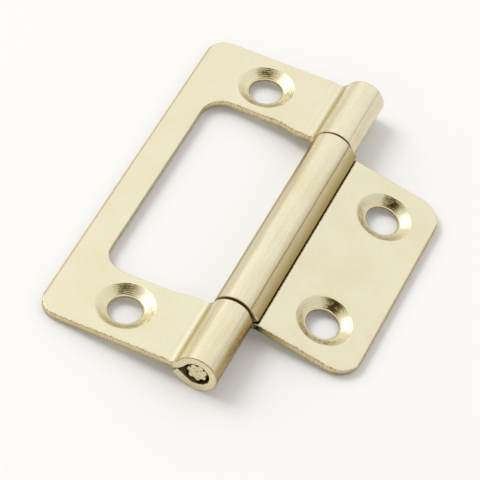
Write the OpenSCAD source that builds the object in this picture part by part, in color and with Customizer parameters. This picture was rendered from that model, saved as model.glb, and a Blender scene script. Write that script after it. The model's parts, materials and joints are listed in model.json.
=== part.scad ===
// Flush hinge for a cabinet door: two leaves stamped from one sheet and rolled
// round a ribbed pin. It lies open, on its knuckles and on the far edge of each
// leaf, countersinks up. The pin lies along Y, the outer leaf to -X and the
// inner leaf to +X. The origin is on the table, under the middle of the hinge.

/* [Sheet and pin] */
// Thickness of the sheet that both leaves are stamped from
sheet = 1.0; // [0.8:0.1:1.2]
// Diameter of the plain middle of the pin
pin_d = 3.1; // [2.5:0.1:3.5]
// Radial play of the pin in the rolled eyes
pin_play = 0.05; // [0.02:0.01:0.1]
// Height of a leaf's face over the pin axis, on the side that rises over the pin
face_h = 0.63; // [0.5:0.01:0.8]

/* [Outer leaf] */
// Length of the outer leaf along the pin
outer_l = 50; // [46:1:70]
// Reach of the outer leaf from the pin axis to its far edge
outer_reach = 20.3; // [19:0.1:26]
// Radius of the outer leaf's far corners
outer_corner_r = 2.4; // [0.5:0.1:4]
// Width of the strip that closes the window at the far edge
strip_w = 3.7; // [3:0.1:3.9]
// Width of each arm beside the window
arm_w = 9.5; // [9:0.1:9.9]
// Radius of the window's two corners
window_corner_r = 2.9; // [0.5:0.1:4]
// Where the window starts to narrow towards the knuckles, from the pin axis
throat_start = 7.2; // [6.5:0.1:8]
// Where the window has come to its narrow width, from the pin axis
throat_end = 5.2; // [4.5:0.1:6]

/* [Inner leaf] */
// Gap between the inner leaf and the window's far edge when the hinge is closed
nest_gap = 1.0; // [0.3:0.1:2]
// Radius of the inner leaf's far corners
inner_corner_r = 3.2; // [0.5:0.1:5]
// Length of each end knuckle
end_knuckle_l = 9.95; // [9.9:0.05:12]
// End play of the barrel between the two end knuckles, both ends together
end_play = 0.5; // [0.3:0.05:0.8]
// How far the inner leaf has slid along the pin from its middle place
slide = 0.1; // [-0.1:0.05:0.1]

/* [Rolled knuckle] */
// Radius of the valley where a leaf turns up to the knuckle
valley_r = 1.31; // [1:0.01:1.6]
// Depth of the outer leaf's valley below its face
outer_dip = 0.1; // [0:0.01:0.15]
// Depth of the inner leaf's valley below its back, which stays flat up to the roll
inner_dip = 0; // [0:0.01:0.15]
// Radius of the soft crown where the leaf starts to dip
crown_r = 2.79; // [2:0.01:4]
// Rise for each millimetre of run of the straight free edge under the leaf
lap_slope = 0.75; // [0.7:0.01:0.8]
// Gap between the tip of the free edge and the sheet that it lands on
lap_gap = 0.06; // [0.03:0.01:0.2]
// Depth of the flat that the roll keeps on its flank
flank_flat = 0.1; // [0.05:0.01:0.15]
// Direction in which the flat faces, up from the plane of the leaf
flank_angle = 28; // [10:1:40]

/* [Screw holes] */
// Diameter of the hole for the screw's shank
hole_d = 4.1; // [3.5:0.1:4.5]
// Diameter of the countersink at the leaf's face
csk_d = 7; // [6.5:0.1:7.4]
// Diameter of the countersink at the small land round the hole
csk_land_d = 4.5; // [4.5:0.1:4.8]
// Thickness of the land that is left round the hole
land_t = 0.2; // [0.1:0.05:0.3]
// Distance of the outer leaf's holes from its ends
outer_hole_end = 4.95; // [4.5:0.05:5.2]
// Distance of the outer leaf's holes from its far edge
outer_hole_edge = 9.1; // [6:0.1:11]
// Distance of the inner leaf's holes from its ends
inner_hole_end = 5.6; // [4.5:0.1:7]
// Distance of the inner leaf's holes from its far edge
inner_hole_edge = 6.1; // [5:0.1:7]

/* [Ribs of the pin] */
// Number of ribs round each end of the pin
ribs = 7; // [6:1:9]
// Length of the ribbed stretch at each end
rib_l = 4; // [2:0.5:6]
// Gap between the ribs and the eye of the end knuckle
rib_gap = 0.02; // [0.01:0.01:0.04]
// Radius of the grooves between the ribs
groove_r = 0.42; // [0.3:0.01:0.45]
// Depth of the grooves below the top of the ribs
groove_depth = 0.55; // [0.3:0.05:0.65]
// Diameter of the pin's tapered tip at its face
tip_d = 2.64; // [2.5:0.02:3]
// Length of the taper at each tip
tip_l = 0.6; // [0.2:0.1:1]
// Distance from the pin's end to the face of the knuckle round it
pin_recess = 0.3; // [0:0.05:1]

/* [Hidden] */
$fn = 96;
// Allowance by which a cutter runs past the faces that it cuts
over = 1;
brass = [0.88, 0.84, 0.70];

eye_r = pin_d / 2 + pin_play;
knuckle_r = eye_r + sheet;
under_h = face_h - sheet;

// Centres of the valley and of the crown, each tangent to its neighbour
function valley_at(dip) =
    let (z = face_h - dip + valley_r)
    [-sqrt(pow(knuckle_r + valley_r, 2) - pow(z, 2)), z];
function crown_at(dip) =
    let (valley = valley_at(dip), z = face_h - crown_r)
    [valley[0] - sqrt(pow(crown_r + valley_r, 2) - pow(valley[1] - z, 2)), z];

// Direction of the straight free edge, and the spoke of the roll on which it starts
lap_dir = [-1, lap_slope] / norm([1, lap_slope]);
lap_spoke = [-lap_dir[1], lap_dir[0]];

// Length of the free edge, with which its inner corner stops short of the valley's back
function lap_length(dip) =
    let (start = eye_r * lap_spoke - valley_at(dip), stop_r = valley_r + sheet + lap_gap,
        ahead = -start * lap_dir)
    ahead - sqrt(pow(ahead, 2) - start * start + pow(stop_r, 2));

window_x = strip_w - outer_reach;
inner_reach = outer_reach - strip_w - nest_gap;
throat_l = outer_l - 2 * end_knuckle_l;
inner_l = throat_l - end_play;

// How far each leaf droops so that its far edge comes down to the table
outer_droop = asin(knuckle_r / norm([outer_reach, under_h])) - atan2(-under_h, outer_reach);
inner_droop = asin(knuckle_r / norm([inner_reach, face_h])) - atan2(face_h, inner_reach);

// Spread of the open hinge to either side of the pin, and the pin's place
outer_spread = outer_reach * cos(outer_droop) + face_h * sin(outer_droop);
inner_spread = inner_reach * cos(inner_droop) - under_h * sin(inner_droop);
pin_x = (outer_spread - inner_spread) / 2;

// Part of a ring between the vectors a and b, which both reach past it, less than 90 degrees apart
module ring_sector(r_in, r_out, a, b) {
    intersection() {
        difference() {
            circle(r_out);
            circle(r_in);
        }
        polygon([[0, 0], a, a + b, b]);
    }
}

// The roll itself, from the free edge's spoke round under the pin and over it to the valley
module roll(valley) {
    far = 4 * knuckle_r;
    difference() {
        circle(knuckle_r);
        circle(eye_r);
        polygon([[0, 0], valley, [-far, 0], far * lap_spoke]);
        rotate(flank_angle)
            translate([knuckle_r - flank_flat, -knuckle_r])
                square([over, 2 * knuckle_r]);
    }
}

// A rolled leaf drawn out along the pin: plate, crown where it dips, valley, roll and
// free edge, with a key in the middle of the sheet wherever one of them meets the next
module rolled_sheet(reach, length, dip) {
    valley = valley_at(dip);
    crown = crown_at(dip);
    to_valley = valley - crown;
    run = lap_length(dip) * lap_dir;
    roll_middle = eye_r + sheet / 2;
    keys = [[crown[0], face_h - sheet / 2],
        crown + (crown_r - sheet / 2) * to_valley / norm(to_valley),
        roll_middle * valley / norm(valley), roll_middle * lap_spoke];
    rotate([90, 0, 0]) {
        linear_extrude(length, center = true)
            polygon([[-reach, under_h], [crown[0], under_h], [crown[0], face_h], [-reach, face_h]]);
        if (dip > 0)
            linear_extrude(length, center = true)
                translate(crown)
                    ring_sector(crown_r - sheet, crown_r, to_valley, [0, crown_r + over]);
        linear_extrude(length, center = true)
            translate(valley)
                ring_sector(valley_r, valley_r + sheet, -to_valley, -valley);
        linear_extrude(length, center = true)
            roll(valley);
        linear_extrude(length, center = true)
            polygon([eye_r * lap_spoke, knuckle_r * lap_spoke,
                knuckle_r * lap_spoke + run, eye_r * lap_spoke + run]);
        for (key = keys)
            linear_extrude(length, center = true)
                translate(key)
                    square(sheet / 2, center = true);
    }
}

// Outline of a leaf seen from above, with its two far corners rounded
module leaf_outline(reach, length, corner_r) {
    half = length / 2;
    translate([-reach + corner_r, -half])
        square([reach - corner_r + knuckle_r + over, length]);
    translate([-reach, -half + corner_r])
        square([2 * corner_r, length - 2 * corner_r]);
    for (side = [-1, 1])
        translate([-reach + corner_r, side * (half - corner_r)])
            circle(corner_r);
}

// The window with rounded far corners, narrowing to the throat that the barrel sits in
module window_outline() {
    half = outer_l / 2 - arm_w;
    throat = throat_l / 2;
    union() {
        translate([window_x + window_corner_r, -half])
            square([-throat_start - window_x - window_corner_r, 2 * half]);
        translate([window_x, -half + window_corner_r])
            square([2 * window_corner_r, 2 * (half - window_corner_r)]);
        for (side = [-1, 1])
            translate([window_x + window_corner_r, side * (half - window_corner_r)])
                circle(window_corner_r);
        polygon([[-throat_start, -half], [-throat_end, -throat],
            [knuckle_r + over, -throat], [knuckle_r + over, throat],
            [-throat_end, throat], [-throat_start, half]]);
    }
}

// Cutter for one screw hole, its countersink opening upwards from the face at z = 0
module screw_hole() {
    cone_t = sheet - land_t;
    flare = (csk_d - csk_land_d) / (2 * cone_t);
    translate([0, 0, -sheet - over])
        cylinder(h = sheet + 2 * over, d = hole_d);
    translate([0, 0, -cone_t])
        cylinder(h = cone_t + over, d1 = csk_land_d, d2 = csk_d + 2 * flare * over);
}

// Frame-shaped leaf with a window, and a rolled knuckle at each end of the pin
module outer_leaf() {
    color(brass)
        translate([pin_x, 0, knuckle_r])
            rotate([0, -outer_droop, 0])
                difference() {
                    intersection() {
                        rolled_sheet(outer_reach, outer_l, outer_dip);
                        translate([0, 0, -2 * knuckle_r])
                            linear_extrude(4 * knuckle_r)
                                leaf_outline(outer_reach, outer_l, outer_corner_r);
                    }
                    translate([0, 0, -2 * knuckle_r])
                        linear_extrude(4 * knuckle_r)
                            window_outline();
                    for (side = [-1, 1])
                        translate([outer_hole_edge - outer_reach,
                            side * (outer_l / 2 - outer_hole_end), face_h])
                            screw_hole();
                }
}

// Small leaf that nests in the window, with the long middle barrel. It is rolled
// like the outer leaf and turned over, so its countersinks are on the other face.
module inner_leaf() {
    color(brass)
        translate([pin_x, slide, knuckle_r])
            rotate([0, 180 + inner_droop, 0])
                difference() {
                    intersection() {
                        rolled_sheet(inner_reach, inner_l, inner_dip);
                        translate([0, 0, -2 * knuckle_r])
                            linear_extrude(4 * knuckle_r)
                                leaf_outline(inner_reach, inner_l, inner_corner_r);
                    }
                    for (side = [-1, 1])
                        translate([inner_hole_edge - inner_reach,
                            side * (inner_l / 2 - inner_hole_end), under_h])
                            rotate([180, 0, 0])
                                screw_hole();
                }
}

// Pin with a plain middle and ribbed ends that bite in the end knuckles
module hinge_pin() {
    length = outer_l - 2 * pin_recess;
    rib_r = eye_r - rib_gap;
    color(brass)
        translate([pin_x, 0, knuckle_r])
            rotate([90, 0, 0]) {
                cylinder(h = length - 2 * rib_l, d = pin_d, center = true);
                for (side = [0, 1])
                    mirror([0, 0, side])
                        translate([0, 0, length / 2 - rib_l])
                            ribbed_end(rib_r);
            }
}

// One ribbed end of the pin, from z = 0 up to its tapered tip
module ribbed_end(rib_r) {
    difference() {
        union() {
            cylinder(h = rib_l - tip_l, r = rib_r);
            translate([0, 0, rib_l - tip_l])
                cylinder(h = tip_l, r1 = rib_r, r2 = tip_d / 2);
        }
        for (i = [0 : ribs - 1])
            rotate(i * 360 / ribs)
                translate([rib_r - groove_depth + groove_r, 0, -over])
                    cylinder(h = rib_l + 2 * over, r = groove_r);
    }
}

outer_leaf();
inner_leaf();
hinge_pin();
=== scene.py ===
# %% [markdown]
# A flush hinge lies open on a white table: an outer leaf with a window, a small
# inner leaf that folds into that window, and a ribbed pin through the knuckles.
# The packed solids have every true size. This file gives them soft edges, tool
# marks, pale brass plating, and the light of a small white studio.

# %% Load the packed hinge
import json
from math import atan2, cos, degrees, pi, radians, sin
import bmesh
import bpy
from mathutils import Matrix, Vector


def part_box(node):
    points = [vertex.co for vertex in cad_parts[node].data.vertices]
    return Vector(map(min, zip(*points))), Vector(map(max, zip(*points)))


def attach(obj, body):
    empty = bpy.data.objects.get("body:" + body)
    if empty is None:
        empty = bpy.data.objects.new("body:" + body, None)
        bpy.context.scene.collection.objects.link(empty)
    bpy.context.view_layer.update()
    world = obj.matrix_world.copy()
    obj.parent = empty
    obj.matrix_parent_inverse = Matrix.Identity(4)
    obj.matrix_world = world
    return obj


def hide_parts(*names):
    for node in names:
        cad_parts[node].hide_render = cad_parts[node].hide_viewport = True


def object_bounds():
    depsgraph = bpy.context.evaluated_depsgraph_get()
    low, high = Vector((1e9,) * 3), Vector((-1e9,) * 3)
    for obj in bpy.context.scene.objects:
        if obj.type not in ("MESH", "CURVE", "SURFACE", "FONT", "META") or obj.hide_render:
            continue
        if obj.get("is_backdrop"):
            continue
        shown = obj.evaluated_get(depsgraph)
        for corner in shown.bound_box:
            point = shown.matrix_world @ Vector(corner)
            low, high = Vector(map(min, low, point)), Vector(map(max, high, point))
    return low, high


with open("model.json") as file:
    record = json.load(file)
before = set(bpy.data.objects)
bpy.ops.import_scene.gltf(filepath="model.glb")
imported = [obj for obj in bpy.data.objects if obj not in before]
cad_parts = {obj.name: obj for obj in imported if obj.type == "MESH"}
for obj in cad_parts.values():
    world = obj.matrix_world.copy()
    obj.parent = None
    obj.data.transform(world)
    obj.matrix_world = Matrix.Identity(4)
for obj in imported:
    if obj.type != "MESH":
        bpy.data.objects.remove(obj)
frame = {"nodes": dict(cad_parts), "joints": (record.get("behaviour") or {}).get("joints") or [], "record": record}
cad_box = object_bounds()
print("nodes:", sorted(frame["nodes"]))

# %% [markdown]
# Everything that is drawn on a leaf, such as the rings of a countersink, has to
# follow the leaf and not the table. The pin's axis and the axes of the screw
# holes are in the packed record, so each leaf's own directions are worked out
# from them, and a screw hole is where its mount is. These places could be typed in
# as numbers; read from the record, they follow the part when it changes.

# %% Places that come from the frame
MM = 0.001
record = frame["record"]
mounts = {mount["name"]: mount for mount in record["mounts"]}
pin_place = Vector(frame["joints"][0]["pos_m"])
leaf_low, leaf_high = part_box("outer_leaf")
hinge_length = leaf_high.y - leaf_low.y


class Leaf:
    """A leaf's own directions: along away from the pin, up out of its face."""

    def __init__(self, mount_names):
        holes = [mounts[name] for name in mount_names]
        self.up = Vector(holes[0]["axis"]).normalized()
        self.along = Vector((self.up.z, 0, -self.up.x))
        self.tilt = atan2(self.up.x, self.up.z)
        self.middle = sum(hole["pos_m"][1] for hole in holes) / 2
        self.hole_side = abs(holes[0]["pos_m"][1] - holes[1]["pos_m"][1]) / 2
        self.hole_along = (Vector(holes[0]["pos_m"]) - pin_place).dot(self.along)
        self.hole_r = holes[0]["dims"]["r_mm"] * MM

    def local(self, point):
        """A point of the table's frame as (along, side, up), from the pin."""
        away = Vector(point) - pin_place
        return Vector((away.dot(self.along), away.y - self.middle, away.dot(self.up)))

    def from_hole(self, point):
        """How far a point lies from the axis of the nearest screw hole."""
        place = self.local(point)
        return Vector((place.x - self.hole_along, abs(place.y) - self.hole_side)).length


outer = Leaf(["outer_screw_front", "outer_screw_back"])
inner = Leaf(["inner_screw_front", "inner_screw_back"])
for title, one in (("outer", outer), ("inner", inner)):
    print(title, "holes at", round(one.hole_along / MM, 2), "mm from the pin")

# %% [markdown]
# The camera stands to the right of the pin, looks down at about fifty degrees
# through a long lens, and is rolled, so that the pin runs up to the right. It
# could be turned by hand; here it is aimed at a point of the table and rolled by
# one angle, because these three values can be read and changed.

# %% Camera
CAMERA_PLACE = Vector((43.04, -222.58, 263.99)) * MM
CAMERA_AIM = Vector((-1.906, -2.215, 0)) * MM
CAMERA_ROLL = radians(16.816)
CAMERA_LENS = 219.5
SENSOR_WIDTH = 36


def add_camera():
    data = bpy.data.cameras.new("camera")
    data.lens = CAMERA_LENS
    data.sensor_width = SENSOR_WIDTH
    data.clip_start = 0.01
    camera = bpy.data.objects.new("camera", data)
    bpy.context.scene.collection.objects.link(camera)
    look = (CAMERA_AIM - CAMERA_PLACE).to_track_quat("-Z", "Y")
    turn = look.to_matrix().to_4x4() @ Matrix.Rotation(CAMERA_ROLL, 4, "Z")
    camera.matrix_world = Matrix.Translation(CAMERA_PLACE) @ turn
    bpy.context.scene.camera = camera


add_camera()
print("camera", round((CAMERA_AIM - CAMERA_PLACE).length / MM), "mm from its aim")

# %% [markdown]
# Shader maths reads best as maths. A Wire holds one socket of a material's node
# tree, and arithmetic on it adds the Math nodes. All other nodes come from one
# method that takes the node's type, its settings and its inputs. Nodes could be
# added and linked one by one, but a mark of wear is then twenty lines and not one.

# %% A wire and its maths
class Wire:
    """A value in a node tree; arithmetic on it adds Math nodes."""

    def __init__(self, paint, socket):
        self.paint = paint
        self.socket = socket

    def _math(self, operation, *values):
        return self.paint.node("ShaderNodeMath", {"operation": operation}, dict(enumerate(values)))

    def __add__(self, other):
        return self._math("ADD", self, other)

    def __sub__(self, other):
        return self._math("SUBTRACT", self, other)

    def __rsub__(self, other):
        return self._math("SUBTRACT", other, self)

    def __mul__(self, other):
        return self._math("MULTIPLY", self, other)

    def __pow__(self, other):
        return self._math("POWER", self, other)

    __radd__ = __add__
    __rmul__ = __mul__

    def sine(self):
        return self._math("SINE", self)

    def size(self):
        return self._math("ABSOLUTE", self)

    def least(self, other):
        return self._math("MINIMUM", self, other)

    def most(self, other):
        return self._math("MAXIMUM", self, other)

    def ramp(self, start, end, low=0, high=1):
        """Smoothly from low to high as this value goes from start to end."""
        inputs = {"Value": self, "From Min": start, "From Max": end, "To Min": low, "To Max": high}
        return self.paint.node("ShaderNodeMapRange", {"interpolation_type": "SMOOTHSTEP"}, inputs)

    def near(self, place, reach):
        """1 where this value is at a place, 0 where it is further away than a reach."""
        return (self - place).size().ramp(0, reach, 1, 0)


print("a wire can do:", [name for name in vars(Wire) if not name.startswith("_")])


# %% The paint of one material
class Paint:
    """One material's node tree."""

    def __init__(self, tree):
        self.tree = tree
        tree.nodes.clear()

    def node(self, kind, settings=None, inputs=None, output=0):
        new = self.tree.nodes.new(kind)
        for name, value in (settings or {}).items():
            setattr(new, name, value)
        for name, value in (inputs or {}).items():
            if isinstance(value, Wire):
                self.tree.links.new(value.socket, new.inputs[name])
            else:
                new.inputs[name].default_value = value
        return Wire(self, new.outputs[output]) if new.outputs else None

    def mix(self, share, a, b):
        """Colour a where share is 0, colour b where it is 1."""
        inputs = {0: share, 6: a, 7: b}
        return self.node("ShaderNodeMix", {"data_type": "RGBA"}, inputs, 2)

    def place(self, leaf=None):
        """Object coordinates, or those of a leaf, as (along, side, up) Wires in millimetres."""
        where = self.node("ShaderNodeTexCoord", output="Object")
        tilt = leaf.tilt if leaf else 0
        middle = leaf.middle if leaf else 0
        inputs = {"Vector": where, "Location": pin_place + Vector((0, middle, 0)),
                  "Rotation": (0, tilt, 0), "Scale": (MM, MM, MM)}
        local = self.node("ShaderNodeMapping", {"vector_type": "TEXTURE"}, inputs)
        return local, self.axes(local)

    def axes(self, vector):
        return [self.node("ShaderNodeSeparateXYZ", inputs={0: vector}, output=i) for i in range(3)]

    def stretched(self, vector, scale):
        """A vector stretched along its axes, for streaks and brushed lines."""
        inputs = {0: vector, 1: scale}
        return self.node("ShaderNodeVectorMath", {"operation": "MULTIPLY"}, inputs)

    def noise(self, vector, scale, detail=3, roughness=0.5):
        inputs = {"Vector": vector, "Scale": scale, "Detail": detail, "Roughness": roughness}
        return self.node("ShaderNodeTexNoise", None, inputs)

    def bump(self, height, distance, strength=1, below=None):
        inputs = {"Height": height, "Distance": distance, "Strength": strength}
        if below is not None:
            inputs["Normal"] = below
        return self.node("ShaderNodeBump", None, inputs)


print("paint can do:", [name for name in vars(Paint) if not name.startswith("_")])

# %% [markdown]
# The hinge lies on white paper that the camera sees almost as plain white, with a
# soft shadow. More light would wash the brass out, so the paper gives a small
# share of its own light to the camera only, and the lamps stay at a plain level.

# %% White table
TABLE_SIZE = 6
TABLE_SHARE = 0.08
PAPER = (0.87, 0.87, 0.875, 1)
WHITE = (1, 1, 1, 1)


def new_material(name):
    material = bpy.data.materials.new(name)
    material.use_nodes = True
    return material, Paint(material.node_tree)


def add_table():
    material, paint = new_material("white_paper")
    seen = paint.node("ShaderNodeLightPath", output="Is Camera Ray")
    paper = paint.node("ShaderNodeBsdfDiffuse", None, {"Color": PAPER})
    glow = paint.node("ShaderNodeEmission", None, {"Color": WHITE, "Strength": 1.0})
    both = paint.node("ShaderNodeMixShader", None, {0: seen * TABLE_SHARE, 1: paper, 2: glow})
    paint.node("ShaderNodeOutputMaterial", None, {"Surface": both})
    bpy.ops.object.select_all(action="DESELECT")
    bpy.ops.mesh.primitive_plane_add(size=TABLE_SIZE, location=(0, 0, 0))
    table = bpy.context.object
    table.name = "table"
    table.data.materials.append(material)
    table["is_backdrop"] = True
    return table


table = add_table()
print("table", table.dimensions.x, "m wide")

# %% [markdown]
# Metal shows what stands round it, so the room is painted for its reflections and
# not only for its light. It has a pale ceiling that gets warmer and darker towards
# the horizon, a bright panel at the back that the flat faces mirror, a small bright
# window at the left, and a dark spot with an olive edge over the front of the table,
# where a camera would hang, which lands in the far side of each countersink. Cards
# on stands would do the same with more objects. Each panel or spot has a direction,
# the angles in degrees within which it is whole and beyond which it is gone, and a
# strength.

# %% Room
CEILING = (0.79, 0.79, 0.79, 1)
HORIZON = (0.42, 0.34, 0.20, 1)
OLIVE = (0.330, 0.265, 0.090, 1)
BROWN = (0.036, 0.023, 0.008, 1)
OVERHEAD = Vector((0.10, -0.40, 0.91))
PANEL = (Vector((-0.11, 0.64, 0.76)), 22, 62, 0.27)
WINDOW = (Vector((-0.81, 0.11, 0.58)), 12, 31, 1.8)
OLIVE_SPOT = (OVERHEAD, 18, 34, 0.85)
BROWN_SPOT = (OVERHEAD, 6, 23, 0.98)


def lobe(paint, direction, towards, whole, gone, strength):
    """A round glow or spot of the room, from its strength down to 0."""
    inputs = {0: direction, 1: towards.normalized()}
    cosine = paint.node("ShaderNodeVectorMath", {"operation": "DOT_PRODUCT"}, inputs, "Value")
    return cosine.ramp(cos(radians(gone)), cos(radians(whole))) * strength


def add_room():
    world = bpy.data.worlds.new("room")
    world.use_nodes = True
    bpy.context.scene.world = world
    paint = Paint(world.node_tree)
    where = paint.node("ShaderNodeTexCoord", output="Generated")
    up = paint.axes(where)[2]
    colour = paint.mix(up.ramp(-0.10, 0.45), HORIZON, CEILING)
    colour = paint.mix(lobe(paint, where, *OLIVE_SPOT), colour, OLIVE)
    colour = paint.mix(lobe(paint, where, *BROWN_SPOT), colour, BROWN)
    strength = 1 + lobe(paint, where, *PANEL) + lobe(paint, where, *WINDOW)
    sky = paint.node("ShaderNodeBackground", None, {"Color": colour, "Strength": strength})
    plain = paint.node("ShaderNodeBackground", None, {"Color": WHITE, "Strength": 1.0})
    seen = paint.node("ShaderNodeLightPath", output="Is Camera Ray")
    both = paint.node("ShaderNodeMixShader", None, {0: seen, 1: sky, 2: plain})
    paint.node("ShaderNodeOutputWorld", None, {"Surface": both})


add_room()
print("room", bpy.context.scene.world.name, "has", len(bpy.context.scene.world.node_tree.nodes), "nodes")

# %% [markdown]
# One soft lamp stands at the left and throws the soft shadow to the right, which a
# sun lamp would draw too sharp. The metal doesn't mirror it, because the painted
# room already has what it should mirror.

# %% Lamp
LAMP_PLACE = Vector((-0.74, 0.04, 0.82))
LAMP_SIZE = 0.40
LAMP_WATTS = 4.0


def add_lamp():
    """A square soft lamp that points at the hinge."""
    data = bpy.data.lights.new("left_lamp", "AREA")
    data.shape = "SQUARE"
    data.size = LAMP_SIZE
    data.energy = LAMP_WATTS
    lamp = bpy.data.objects.new("left_lamp", data)
    bpy.context.scene.collection.objects.link(lamp)
    turn = (-LAMP_PLACE).to_track_quat("-Z", "Y").to_matrix().to_4x4()
    lamp.matrix_world = Matrix.Translation(LAMP_PLACE) @ turn
    lamp.visible_glossy = False
    return lamp


lamp = add_lamp()
bpy.context.scene.view_settings.view_transform = "Standard"
print(lamp.name, "gives", lamp.data.energy, "W")

# %% [markdown]
# All three pieces are steel with a thin, pale brass plating. The plating is one
# recipe: brass that is a touch deeper in cloudy patches, with a fine grain. One
# finish for all would be shorter, but each tool leaves its own marks, so there is
# one for the sheet, one for its cut edges, one for their rims, one for the turned
# countersinks and one for the pin.

# %% Plating recipe
PALE_BRASS = (0.850, 0.798, 0.585, 1)
DEEP_BRASS = (0.720, 0.612, 0.330, 1)
GOLD = (0.500, 0.375, 0.120, 1)
COPPER = (0.640, 0.390, 0.150, 1)
# The rust-brown serves both real specks and painted shade; the near black below it is only painted shade.
RUST_AND_SHADE = (0.330, 0.190, 0.065, 1)
PAINTED_SHADE_BLACK = (0.022, 0.014, 0.007, 1)
BRIGHT_BRASS = (0.930, 0.890, 0.720, 1)


def plating(name, make):
    """A brass material; make(paint) gives its colour, roughness and normal."""
    material, paint = new_material(name)
    colour, roughness, normal = make(paint)
    inputs = {"Base Color": colour, "Metallic": 1.0, "Roughness": roughness, "Normal": normal}
    brass = paint.node("ShaderNodeBsdfPrincipled", None, inputs)
    paint.node("ShaderNodeOutputMaterial", None, {"Surface": brass})
    return material


def cloudy_patches(paint, vector):
    """Patches some millimetres wide where the plating is deeper, 0 to 1."""
    return paint.noise(vector, 0.16, 3, 0.55)


def fine_grain(paint, vector):
    """The grain that tumbling leaves under the plating, 0 to 1."""
    return paint.noise(vector, 3.4, 3, 0.7)


print("plating from", PALE_BRASS[:3], "to", DEEP_BRASS[:3])

# %% [markdown]
# The flat sheet is satin: it came through rollers, was tumbled and then plated.
# The rolling tool wiped the knuckles along the pin, which left faint lines there.
# Much of the colour on the sheet is painted shade and painted highlight. The valley where the outer leaf turns up
# to its knuckle, the flank of each outer knuckle (most on the front one), and the far flank of the front knuckle
# and of the barrel are painted darker as shade. The inner leaf's free edge is painted deeper gold towards its own
# plate. A dark line of painted shade marks where its roll ends, and a nearly black line of painted shade marks
# where it lands on the plate. The crown of the outer roll, the crease on the outer knuckles and a line on the
# inner plate beside the barrel are painted highlights. Both leaves are browner along their far edge. These marks
# could be painted by hand on the mesh; worked out from the distance to the pin, they stay sharp from near and
# follow the section. Places are in millimetres from the pin, and how wide and how strong a mark is was set one by
# one.

# %% Marks of the sheet
OUTER_EDGE = 20.3
INNER_EDGE = 15.6
FOOT_PLACE = 2.45
CROWN_PLACE = 3.95
CREASE_TURN = radians(43.9)
FREE_EDGE_COS = 0.8
FREE_EDGE_SIN = 0.6
FREE_EDGE_LENGTH = 1.7
LANDING_PLACE = 2.90
PLATE_HIGHLIGHT_PLACE = 3.40


def far_edge_band(out, edge):
    """1 on the last fifth of a millimetre before the rim of a far edge."""
    return out.ramp(edge - 0.32, edge - 0.12)


def outer_marks(out, side, up):
    """How brown, how gold and how bright each place of the outer sheet is; these are mostly painted shade and
    painted highlight.
    """
    # Painted shade in the valley where the sheet turns up to the knuckle.
    foot_shade = out.near(FOOT_PLACE, 0.45) * up.ramp(0.5, 0.7)
    # A painted highlight along the crown of the roll.
    crown_highlight = out.near(CROWN_PLACE, 0.35) * up.ramp(0.3, 0.5)
    crease = up * cos(CREASE_TURN) + out * sin(CREASE_TURN)
    front = side.ramp(5, -5)
    # Painted shade on the flank of the knuckle, stronger on the front one, and a painted highlight along the
    # crease above it.
    flank_shade = crease.ramp(0.0, -0.9) * out.ramp(0, -0.6) * (0.2 + front * 0.8)
    painted_highlight = crease.near(0, 0.2) * out.ramp(0.5, -0.5) * (1.4 - front * 0.6)
    # Painted shade along the far flank of the front knuckle.
    far_flank_shade = out.ramp(-1.9, -2.5) * up.ramp(1.4, 0.6) * front
    far_edge_brown = far_edge_band(out, OUTER_EDGE)
    brown_and_shade = foot_shade * 0.25 + flank_shade * front * 0.25 + far_flank_shade * 0.5 + far_edge_brown * 0.2
    return brown_and_shade, foot_shade * 0.6 + flank_shade * 0.8 + far_edge_brown * 0.6, crown_highlight * 0.4 + painted_highlight


def inner_marks(out, side, up):
    """The same for the inner sheet, whose free edge comes down to its own plate."""
    run = out * FREE_EDGE_COS - up * FREE_EDGE_SIN
    on_edge = out.ramp(3.15, 2.95) * up.ramp(0.5, 0.8)
    tip = run.ramp(FREE_EDGE_LENGTH, FREE_EDGE_LENGTH + 0.1)
    # A nearly black line of painted shade where the free edge lands on the plate.
    landing = out.near(LANDING_PLACE, 0.22) * up.ramp(0.9, 0.7)
    contact_shade = (landing + tip) * out.ramp(3.3, 3.1) * up.ramp(-0.2, 0.1)
    # A dark line of painted shade where the roll ends and the free edge begins.
    start = run.near(0.0, 0.20) * up.ramp(0.6, 0.9)
    # The free edge is painted deeper gold towards the plate, as shade.
    free_edge_shade = run.ramp(0.0, FREE_EDGE_LENGTH, 0.15, 1.0) * run.ramp(-0.1, 0.1) * on_edge
    # Painted shade along the far flank of the barrel.
    far_flank_shade = out.ramp(-2.2, -2.42) * up.ramp(-0.6, 0.0)
    far_edge_brown = far_edge_band(out, INNER_EDGE)
    # A painted highlight on the plate just beside the barrel.
    painted_highlight = out.near(PLATE_HIGHLIGHT_PLACE, 0.2) * up.ramp(0.1, 0.3)
    brown_and_shade = contact_shade * 1.6 + start * 0.35 + far_flank_shade * 0.5 + far_edge_brown * 0.2
    return brown_and_shade, free_edge_shade + start * 0.8 + far_flank_shade + far_edge_brown * 0.6, painted_highlight * 0.6


print("the free edge runs", FREE_EDGE_LENGTH, "mm, to", LANDING_PLACE, "mm from the pin")


# %% Sheet finish
def wiped_lines(paint, local):
    """Faint lines along the pin, about 0 to 1."""
    return paint.noise(paint.stretched(local, (1.0, 0.04, 1.0)), 3.0, 4, 0.65)


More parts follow.
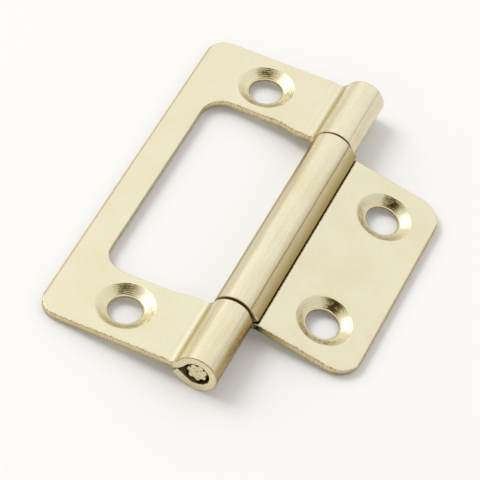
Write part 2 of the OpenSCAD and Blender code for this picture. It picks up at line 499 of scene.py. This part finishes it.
def sheet_finish(name, leaf, away, marks):
    """Satin sheet; away is the sign of the leaf's direction away from the pin."""
    def make(paint):
        local, (along, side, up) = paint.place(leaf)
        patches = cloudy_patches(paint, local)
        grain = fine_grain(paint, local)
        out = along * away
        on_roll = out.ramp(2.3, 3.1, 1, 0)
        wiped = wiped_lines(paint, local)
        brown_and_shade, gold_and_shade, painted_highlight = marks(out, side, up)
        speckle = grain.ramp(0.38, 0.62, -0.5, 0.5)
        deep = patches.ramp(0.35, 0.75, 0.0, 0.25) + (wiped - 0.45) * on_roll * 1.3
        deep = deep + speckle * (0.15 + on_roll * 0.08)
        colour = paint.mix(deep.most(0.0).least(1.0), PALE_BRASS, DEEP_BRASS)
        # The marks mix in gold and brown, mostly painted shade, bright brass as painted highlights, and near black
        # as the deepest painted shade.
        colour = paint.mix((gold_and_shade * (0.75 + wiped * 0.4)).least(1.0), colour, GOLD)
        colour = paint.mix((painted_highlight * (0.7 + speckle)).most(0.0), colour, BRIGHT_BRASS)
        colour = paint.mix((brown_and_shade * (0.8 + speckle * 0.9)).least(0.95), colour, RUST_AND_SHADE)
        colour = paint.mix((brown_and_shade + speckle * 0.3 - 1.0).ramp(0, 0.5, 0, 0.85), colour, PAINTED_SHADE_BLACK)
        roughness = 0.29 + patches * 0.06 + grain * 0.07 - on_roll * 0.04
        height = grain * 0.8 + wiped * on_roll * 1.4
        return colour, roughness, paint.bump(height, 0.024 * MM, 1)
    return plating(name, make)


outer_sheet = sheet_finish("outer_sheet", outer, -1, outer_marks)
inner_sheet = sheet_finish("inner_sheet", inner, 1, inner_marks)
print("made", outer_sheet.name, "and", inner_sheet.name)

# %% [markdown]
# A punch cuts the outline in two zones: a smooth burnished band, then a rough torn one. Plating covers both but
# stays duller on the torn zone. Just under the upper edge, below the burr, runs a brown line of painted shade, and
# the foot of the cut is painted brown as shade too. The ends of the knuckles rub on each other, so they are
# coppery where they meet. Beside the barrel the cut is painted gold as shade and the inner plate's corner there
# nearly black as shade, and the wall of the eye round the pin is painted near black as shade. The sheet's finish
# could hold all this, with a test for where a cut starts; it is simpler to give the cut faces a material of their
# own.

# %% Cut edge finish
RUB_PLACE = 14.95
KNUCKLE_R = 2.6
EYE_R = 1.6
CORNER_PLACE = 3.2


def cut_edge_finish(name, leaf, top):
    """A punched edge; top is how high the leaf's face lies over the pin's axis."""
    def make(paint):
        local, (along, side, up) = paint.place(leaf)
        grain = fine_grain(paint, local)
        torn = paint.noise(paint.stretched(local, (1.0, 1.0, 0.25)), 7.0, 4, 0.65)
        depth = top - up
        on_plate = along.size().ramp(KNUCKLE_R, KNUCKLE_R + 0.6)
        torn_zone = depth.ramp(0.25, 0.6) * on_plate
        colour = paint.mix(torn.ramp(0.35, 0.7, 0.2, 0.8) + torn_zone * 0.2, PALE_BRASS, DEEP_BRASS)
        colour = paint.mix(torn_zone * torn.ramp(0.3, 0.6, 0.1, 0.6), colour, GOLD)
        # A brown line of painted shade under the burr, and at the foot of the cut.
        burr_shade = depth.near(0.17, 0.15) * torn.ramp(0.35, 0.55) * on_plate
        foot_shade = depth.ramp(0.72, 0.92) * on_plate
        colour = paint.mix(burr_shade.most(foot_shade) * 0.9, colour, RUST_AND_SHADE)
        # Painted shade beside the barrel: gold on the cut, near black at the plate's corner.
        shade_beside_barrel = along.ramp(KNUCKLE_R, CORNER_PLACE) * along.ramp(11, 4, 0, 0.6)
        colour = paint.mix(shade_beside_barrel, colour, GOLD)
        colour = paint.mix(along.near(CORNER_PLACE, 1.1) * 0.95, colour, PAINTED_SHADE_BLACK)
        radius = (along * along + up * up) ** 0.5
        rubbed = side.size().near(RUB_PLACE, 0.45) * radius.ramp(KNUCKLE_R + 0.3, KNUCKLE_R)
        colour = paint.mix(rubbed * 0.9, colour, COPPER)
        # The wall of the eye round the pin is painted near black as shade.
        eye_shade = radius.ramp(EYE_R + 0.12, EYE_R + 0.02)
        colour = paint.mix(eye_shade, colour, PAINTED_SHADE_BLACK)
        roughness = 0.32 + torn * 0.18 + eye_shade * 0.2
        return colour, roughness, paint.bump(torn + grain * 0.3, 0.028 * MM, 1)
    return plating(name, make)


outer_cut = cut_edge_finish("outer_cut_edge", outer, 0.63)
inner_cut = cut_edge_finish("inner_cut_edge", inner, 0.37)
print("made", outer_cut.name, "and", inner_cut.name)

# %% [markdown]
# The softened rim between face and cut is bright, with specks where the plating is knocked off. Round the knuckle
# ends it is painted brown as shade, and along the far edge of each leaf it is brown too. Marks on edges could come
# from the angle between faces, which is slow to work out; here the rim is a narrow band of faces, so it gets its
# own finish.

# %% Rim finish
OUTER_RIM = (-19.90, -20.05)
INNER_RIM = (15.30, 15.42)


def rim_finish(name):
    def make(paint):
        local, (along, side, up) = paint.place()
        grain = fine_grain(paint, local)
        specks = paint.noise(local, 2.2, 4, 0.7)
        radius = (along * along + up * up) ** 0.5
        # A brown line of painted shade on the rim round each knuckle end.
        knuckle_rim_shade = radius.near(KNUCKLE_R, 0.3)
        colour = paint.mix(grain.ramp(0.35, 0.65), BRIGHT_BRASS, DEEP_BRASS)
        on_far_edge = along.ramp(*OUTER_RIM).most(along.ramp(*INNER_RIM))
        bare_and_shade = specks.ramp(0.52, 0.64, 0, 0.8).most(knuckle_rim_shade * 0.75).most(on_far_edge * 0.8)
        colour = paint.mix(bare_and_shade, colour, RUST_AND_SHADE)
        roughness = 0.26 + specks * 0.2
        return colour, roughness, paint.bump(specks + grain * 0.5, 0.05 * MM, 1)
    return plating(name, make)


rim = rim_finish("rim")
print("made", rim.name)

# %% [markdown]
# A countersink is turned by a cutter that stands on the hole's axis, so its fine rings follow the distance from
# that axis. The cut is brighter than the sheet, and the rings catch the light in two opposite fans. Round the lip
# of the hole a brown line of painted shade is drawn, with a faint gold band of painted shade just outside it. At a
# fifth of a millimetre the rings are too fine to be modelled, so they are bump.

# %% Countersink finish
RING_PITCH = 0.21


def countersink_finish(name, leaf, polish):
    """Turned cone; polish is its roughness between the rings."""
    def make(paint):
        local, (along, side, up) = paint.place(leaf)
        grain = fine_grain(paint, local)
        across = along - leaf.hole_along / MM
        beside = side.size() - leaf.hole_side / MM
        radius = (across * across + beside * beside) ** 0.5
        wobble = paint.noise(local, 0.7, 2) * 0.35
        chatter = paint.noise(local, 1.6, 2).ramp(0.42, 0.60, 0.35, 1.3)
        rings = ((radius + wobble) * (2 * pi / RING_PITCH)).sine() * chatter
        past_hole = radius - leaf.hole_r / MM
        colour = paint.mix(rings.ramp(-1, 1, 0.50, 0.15), PALE_BRASS, DEEP_BRASS)
        # Painted shade at the lip of the hole: a faint gold band, then a brown line.
        colour = paint.mix(past_hole.ramp(0.30, 0.16) * 0.35, colour, GOLD)
        colour = paint.mix(past_hole.ramp(0.10, 0.02) * 0.8, colour, RUST_AND_SHADE)
        roughness = polish + grain * 0.05
        return colour, roughness, paint.bump(rings + grain * 0.8, 0.006 * MM, 1)
    return plating(name, make)


outer_turned = countersink_finish("outer_countersink", outer, 0.20)
inner_turned = countersink_finish("inner_countersink", inner, 0.11)
print("made", outer_turned.name, "and", inner_turned.name)

# %% [markdown]
# The pin is cut off with a shear and driven in, so its end is hammered and speckled.
# The grooves between the ribs and the wall of the eye round them are painted near black as shade, which leaves a
# dark ring round a pale star. The star itself is in the solid, and the colour only follows it.

# %% Pin finish
RIBS = 7
STAR_R = 1.22
GROOVE_DEPTH = 0.26


def pin_finish(name):
    def make(paint):
        local, (along, side, up) = paint.place()
        grain = fine_grain(paint, local)
        radius = (along * along + up * up) ** 0.5
        angle = paint.node("ShaderNodeMath", {"operation": "ARCTAN2"}, {0: up, 1: along})
        groove = (angle * RIBS + pi / 2).sine().ramp(0.1, 1.0)
        past_star = radius - (STAR_R - groove * GROOVE_DEPTH)
        hammered = paint.noise(local, 2.8, 3, 0.6)
        colour = paint.mix(hammered.ramp(0.3, 0.7, 0.1, 0.9), PALE_BRASS, DEEP_BRASS)
        colour = paint.mix(hammered.ramp(0.56, 0.68, 0, 0.8), colour, RUST_AND_SHADE)
        # Near black painted shade between the ribs and round the star.
        colour = paint.mix(past_star.ramp(-0.04, 0.06), colour, PAINTED_SHADE_BLACK)
        roughness = 0.28 + hammered * 0.15
        return colour, roughness, paint.bump(hammered + grain * 0.3, 0.08 * MM, 1)
    return plating(name, make)


pin_brass = pin_finish("pin_brass")
print("made", pin_brass.name)

# %% [markdown]
# A packed solid has perfectly sharp edges, and no real edge is. Each piece is a
# copy of its solid whose loose triangles are merged and whose edges are bevelled
# by about a tenth of a millimetre. Modelling the leaves again from primitives
# would give the same outline with less certain sizes.

# %% Copy a solid
MERGE = 0.002 * MM
FLAT = radians(0.3)


def deselect():
    if bpy.context.object and bpy.context.object.mode == "EDIT":
        bpy.ops.object.mode_set(mode="OBJECT")
    bpy.ops.object.select_all(action="DESELECT")


def copy_solid(node, name, materials):
    """A merged copy of a packed solid, with its flat faces whole, left in edit mode."""
    deselect()
    piece = bpy.data.objects.new(name, frame["nodes"][node].data.copy())
    piece.data.name = name
    piece.data.materials.clear()
    for material in materials:
        piece.data.materials.append(material)
    bpy.context.scene.collection.objects.link(piece)
    bpy.context.view_layer.objects.active = piece
    piece.select_set(True)
    bpy.ops.object.mode_set(mode="EDIT")
    bpy.ops.mesh.select_all(action="SELECT")
    bpy.ops.mesh.remove_doubles(threshold=MERGE)
    bpy.ops.mesh.dissolve_limited(angle_limit=FLAT)
    return piece


print("corners closer than", round(MERGE / MM, 3), "mm are merged")

# %% Soften chosen edges
SHARP = radians(25)


def soften(piece, wanted, width, steps=2, slot=None):
    """Bevel sharp edges whose middle passes the test wanted; slot(face) is for new faces."""
    mesh = bmesh.from_edit_mesh(piece.data)
    bpy.ops.mesh.select_all(action="DESELECT")
    bpy.ops.mesh.select_mode(type="EDGE")
    chosen = 0
    for edge in mesh.edges:
        middle = (edge.verts[0].co + edge.verts[1].co) / 2
        if len(edge.link_faces) == 2 and edge.calc_face_angle(0) > SHARP and wanted(middle):
            edge.select_set(True)
            chosen += 1
    bmesh.update_edit_mesh(piece.data)
    bpy.ops.mesh.bevel(offset=width, segments=steps, profile=0.5, affect="EDGES", clamp_overlap=False)
    if slot is not None:
        mesh = bmesh.from_edit_mesh(piece.data)
        for face in mesh.faces:
            if face.select:
                face.material_index = slot(face)
        bmesh.update_edit_mesh(piece.data)
    return chosen


print("an edge is sharp past", round(degrees(SHARP)), "degrees")


# %% Give faces a finish and put a piece in the frame
def give_faces(piece, choose):
    """Give each face the material slot that choose returns."""
    mesh = bmesh.from_edit_mesh(piece.data)
    for face in mesh.faces:
        face.material_index = choose(face)
    bmesh.update_edit_mesh(piece.data)


def finish_piece(piece, body, node):
    """Leave edit mode, keep the big faces flat in the shading, and put the piece in the frame."""
    bpy.ops.object.mode_set(mode="OBJECT")
    bpy.ops.object.shade_smooth()
    for edge in piece.data.edges:
        edge.use_edge_sharp = False
    weighted = piece.modifiers.new("flat_faces", "WEIGHTED_NORMAL")
    weighted.weight = 100
    bpy.ops.object.modifier_apply(modifier=weighted.name)
    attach(piece, body)
    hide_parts(node)
    print(piece.name, len(piece.data.polygons), "faces")


# %% [markdown]
# The leaves are one kind of piece. The punch rolls the edges of the sheet over a
# little, the mouths of the countersinks are a touch softer still, and round the
# through-holes only a thin lip is left. A Bevel modifier would soften all edges
# alike, so each kind of edge is chosen by its place and gets a width of its own.

# %% Which face is which
SHEET, CUT, TURNED, RIM = range(4)
ROLL_REACH = 4 * MM
PLATE_START = 5 * MM
LIP_REACH = 2.35 * MM
CONE_REACH = 3.60 * MM
END_FACING = 0.55
WALL_FACING = 0.35
ROLL_FACING = 0.2
CONE_FACING = 0.97


def is_cut(leaf, face):
    """True on faces that a punch or shear made: ends, outline and window walls."""
    place = leaf.local(face.calc_center_median())
    end = abs(face.normal.y) > END_FACING
    wall = abs(face.normal.dot(leaf.up)) < WALL_FACING and abs(place.x) > PLATE_START
    return end or wall


def is_turned(leaf, face):
    """True on a countersink's cone and on the wall and lip of its hole."""
    reach = max(leaf.from_hole(corner.co) for corner in face.verts)
    on_cone = reach < CONE_REACH and face.normal.dot(leaf.up) < CONE_FACING
    return reach < LIP_REACH or on_cone


print("slots:", {"sheet": SHEET, "cut": CUT, "turned": TURNED, "rim": RIM})

# %% Leaves
EDGE_SOFT = 0.10 * MM
MOUTH_SOFT = 0.12 * MM
LIP_SOFT = 0.03 * MM


def add_leaf(node, name, leaf, body, materials):
    piece = copy_solid(node, name, materials)

    def choose(face):
        if is_turned(leaf, face):
            return TURNED
        return CUT if is_cut(leaf, face) else SHEET

    def rim_slot(face):
        on_roll = leaf.local(face.calc_center_median()).x < ROLL_REACH
        return SHEET if on_roll and abs(face.normal.y) < ROLL_FACING else RIM

    def on_rim(point):
        return leaf.from_hole(point) > CONE_REACH

    def on_mouth(point):
        return LIP_REACH < leaf.from_hole(point) < CONE_REACH

    def on_lip(point):
        return leaf.from_hole(point) < LIP_REACH

    give_faces(piece, choose)
    rims = soften(piece, on_rim, EDGE_SOFT, 2, rim_slot)
    mouths = soften(piece, on_mouth, MOUTH_SOFT)
    lips = soften(piece, on_lip, LIP_SOFT, 1)
    finish_piece(piece, body, node)
    print(name, "bevelled", rims, "edges and", mouths + lips, "round its holes")


outer_finishes = [outer_sheet, outer_cut, outer_turned, rim]
inner_finishes = [inner_sheet, inner_cut, inner_turned, rim]
add_leaf("outer_leaf", "outer_leaf_brass", outer, "outer", outer_finishes)
add_leaf("inner_leaf", "inner_leaf_brass", inner, "inner", inner_finishes)

# %% [markdown]
# The pin shows only its ends: a star of ribs inside each end knuckle. Driving it in
# rounded the ribs, so the copy's ribs are bevelled, by so little that the narrow
# grooves between them stay open.

# %% Pin
RIB_SOFT = 0.04 * MM
RIB_REACH = 2 * MM


def on_end(point):
    """True near either end of the pin."""
    return abs(point.y) > hinge_length / 2 - RIB_REACH


def add_pin():
    piece = copy_solid("hinge_pin", "hinge_pin_brass", [pin_brass])
    ribs = soften(piece, on_end, RIB_SOFT, 1)
    finish_piece(piece, "outer", "hinge_pin")
    print("bevelled", ribs, "edges of the ribs")


add_pin()

# %% [markdown]
# The visual model is meant to fill the same box as the packed one. Both boxes are worked out, and the last line
# prints them.

# %% Sizes of the two models
def plain(box):
    return [list(corner) for corner in box]


sizes = {"cad": plain(cad_box), "visual": plain(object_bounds())}
print("boxes", sizes)
